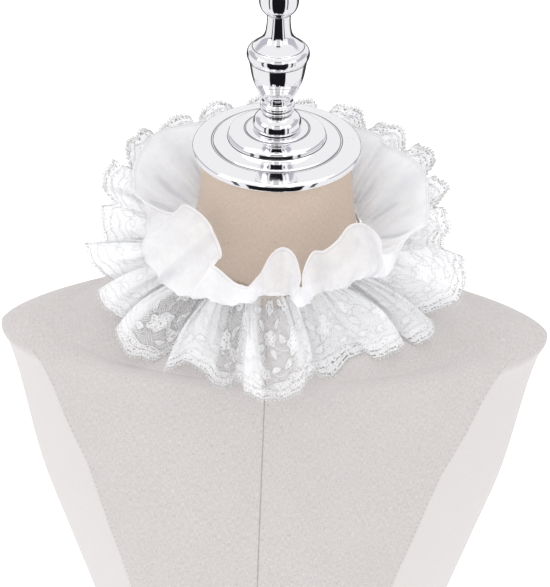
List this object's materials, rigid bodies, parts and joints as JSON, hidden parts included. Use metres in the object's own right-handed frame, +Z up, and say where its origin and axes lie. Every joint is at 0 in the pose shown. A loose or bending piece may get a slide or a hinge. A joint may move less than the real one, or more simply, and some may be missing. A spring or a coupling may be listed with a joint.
{
  "type": "ruff collar on dress form",
  "caption": "White ruff collar of lace and organza frills gathered to a narrow neck band, worn by a limbless linen-covered dress form with a turned chrome neck cap and finial.",
  "frame": {"origin": "middle of the form's footprint on its flat underside", "axes": "+Z up along the neck; the front of the collar and of the form faces -Y; +X is the wearer's left"},
  "size_m": [0.4014, 0.2539, 0.6286],
  "materials": {
    "lace": "open net with raised flower motifs",
    "organza": "sheer, soft sheen",
    "tape": "matt",
    "linen": "plain weave, matt",
    "neck_linen": "plain weave, matt",
    "chrome": "polished"
  },
  "bodies": {
    "root": {"lace_frill": "lace", "organza_frill": "organza", "neck_band": "tape", "form_torso": "linen", "form_neck": "neck_linen", "neck_cap": "chrome", "cap_finial": "chrome"}
  },
  "joints": []
}
